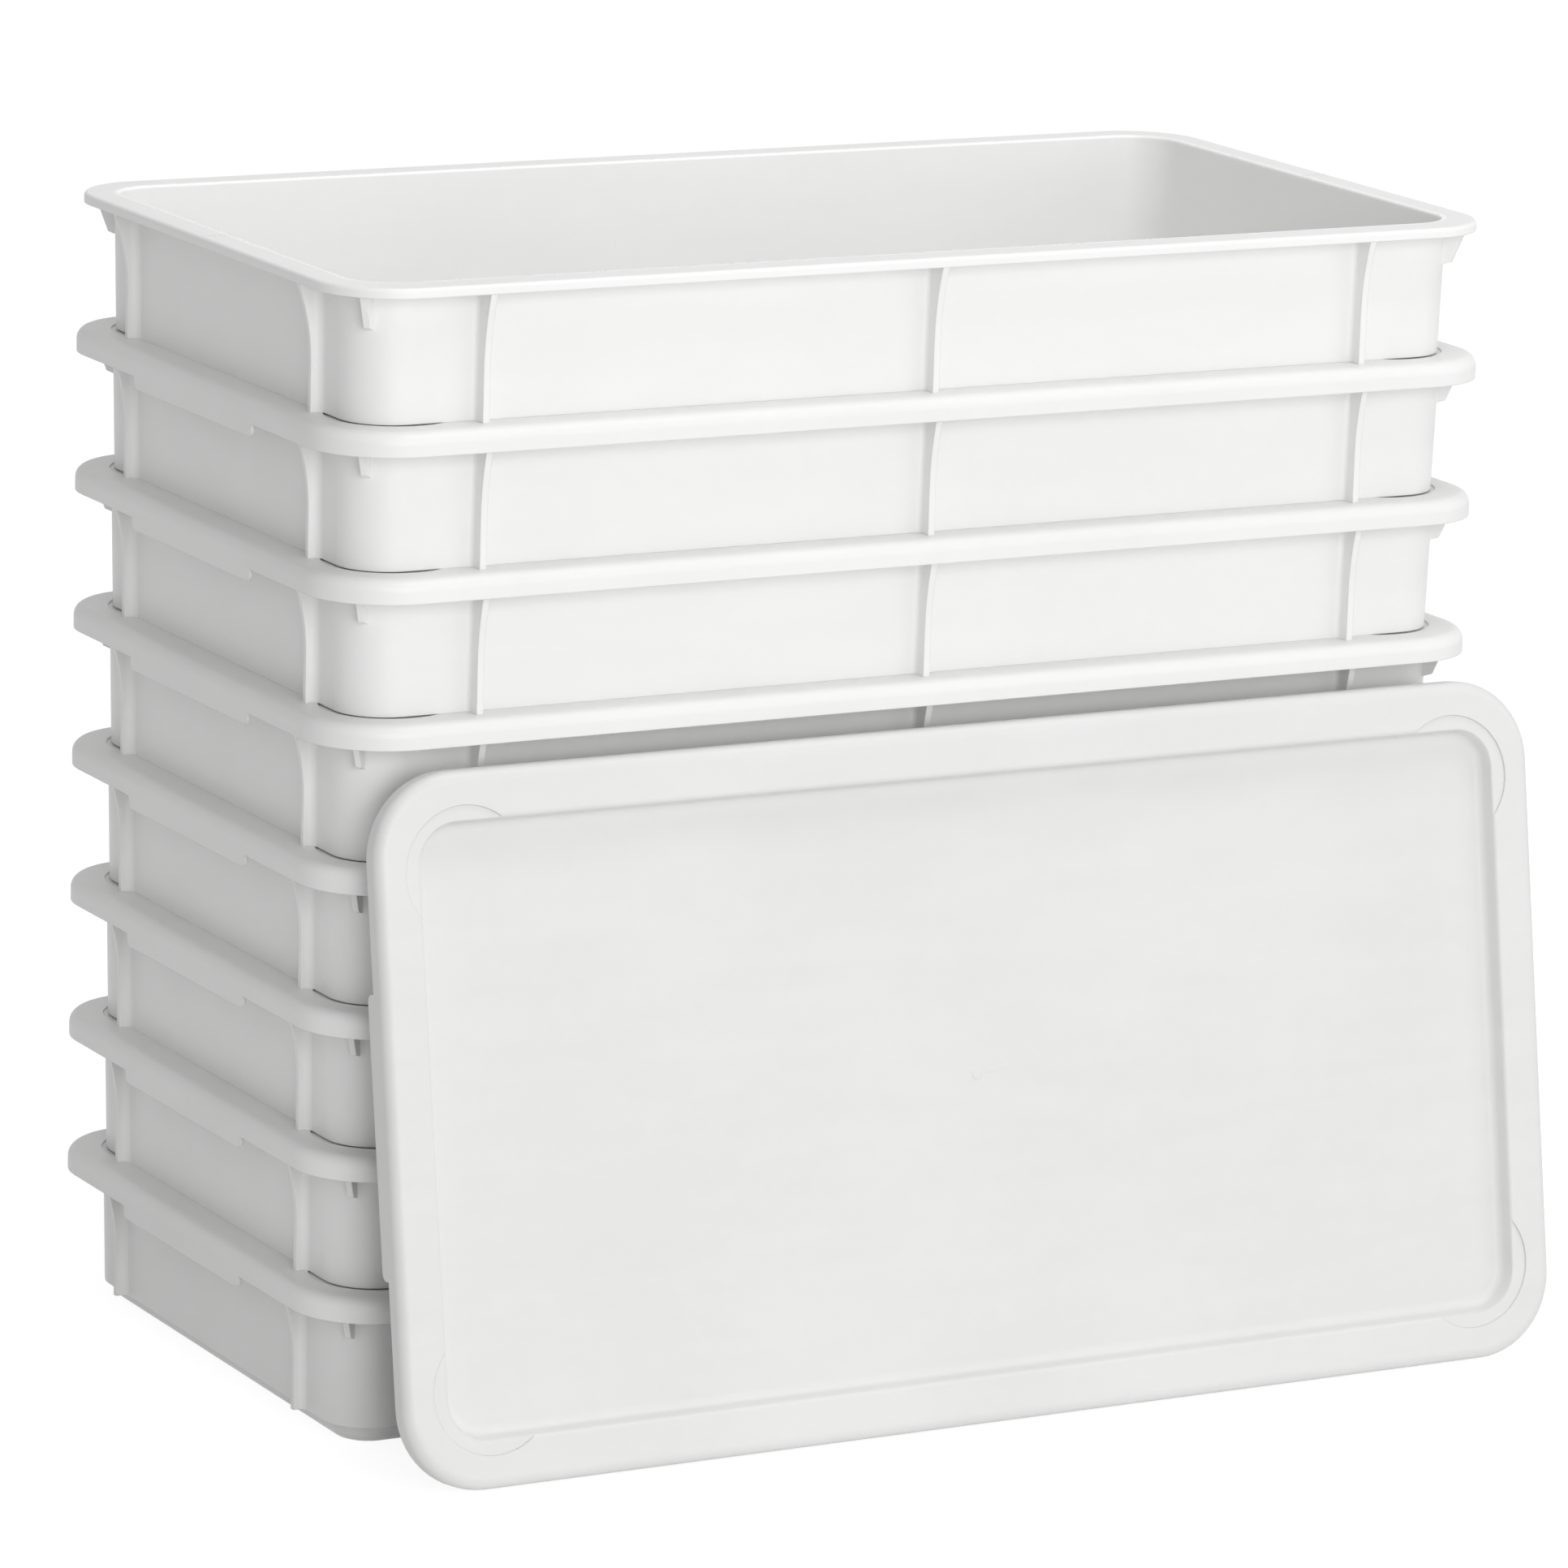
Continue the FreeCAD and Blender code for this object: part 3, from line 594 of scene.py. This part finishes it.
@dataclass
class PhotoCamera:
    """The camera, fitted to the edges of the lids and tubs, with its angles in degrees."""

    place: Place = (-2.02043, -3.72031, 1.24182)
    azimuth: float = 28.625
    elevation: float = 12.860
    roll: float = 1.712
    lens: float = 195.16
    sensor: float = 36.0
    clip_start: float = 0.1
    clip_end: float = 100.0

    def build(self) -> None:
        """Adds the camera and makes it the scene's."""
        data = bpy.data.cameras.new("Photo camera")
        data.sensor_fit = "HORIZONTAL"
        data.sensor_width = self.sensor
        data.lens = self.lens
        data.clip_start = self.clip_start
        data.clip_end = self.clip_end
        camera = bpy.data.objects.new("Photo camera", data)
        bpy.context.scene.collection.objects.link(camera)
        camera.matrix_world = Matrix.Translation(self.place) @ self.axes()
        bpy.context.scene.camera = camera

    def axes(self) -> Matrix:
        """Returns the turn of the camera that its three angles give."""
        turn = math.radians(self.azimuth)
        dip = math.radians(self.elevation)
        tilt = math.radians(self.roll)
        ahead = Vector((math.sin(turn), math.cos(turn), 0.0)) * math.cos(dip)
        forward = ahead + Vector((0.0, 0.0, -math.sin(dip)))
        level = Vector((math.cos(turn), -math.sin(turn), 0.0))
        upright = level.cross(forward)
        right = math.cos(tilt) * level + math.sin(tilt) * upright
        up = -math.sin(tilt) * level + math.cos(tilt) * upright
        return Matrix((right, up, -forward)).transposed().to_4x4()


TUB_FINISH = MouldedPlastic(
    title="White tub plastic",
    light=(0.86, 0.86, 0.855, 1.0),
    shade=(0.82, 0.82, 0.815, 1.0),
    gloss_low=0.30,
    gloss_high=0.50,
    grain_scale=850.0,
    grain_depth=0.00004,
    sink_depth=0.0010,
    cloud=0.6,
    scuffs=0.5,
    edge_radius=0.0007,
    mouth=MouthSizes(),
)
LID_FINISH = MouldedPlastic(
    title="White lid plastic",
    light=(0.83, 0.83, 0.825, 1.0),
    shade=(0.785, 0.785, 0.78, 1.0),
    gloss_low=0.36,
    gloss_high=0.56,
    grain_scale=620.0,
    grain_depth=0.00006,
    sink_depth=0.0008,
    cloud=0.7,
    scuffs=0.4,
    edge_radius=0.0008,
)


def middle_of(node: str) -> Place:
    """Returns the middle of a CAD node's box, in metres."""
    low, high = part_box(node)
    return tuple((a + b) / 2 for a, b in zip(low, high))


def main() -> None:
    """Dresses the set, then adds the studio and the camera."""
    logging.basicConfig(level=logging.INFO, format="%(name)s: %(message)s")
    effects = Effects()
    # The leaning lid uses the lid finish with its tones darkened as painted shade, and the gate's
    # flow marks at its middle.
    leaning_painted_shade_finish = replace(
        LID_FINISH,
        title="Lid plastic darkened as painted shade",
        light=(0.735, 0.735, 0.73, 1.0),
        shade=(0.69, 0.69, 0.685, 1.0),
        gate=middle_of(Moulding.LEANING_LID.value),
    )
    MouldedPieces(Moulding.TUB, TUB_FINISH).dress(effects)
    MouldedPieces(Moulding.LID, LID_FINISH).dress(effects)
    MouldedPieces(Moulding.LEANING_LID, leaning_painted_shade_finish).dress(effects)
    Studio().build()
    PhotoCamera().build()


if __name__ == "__main__":
    main()
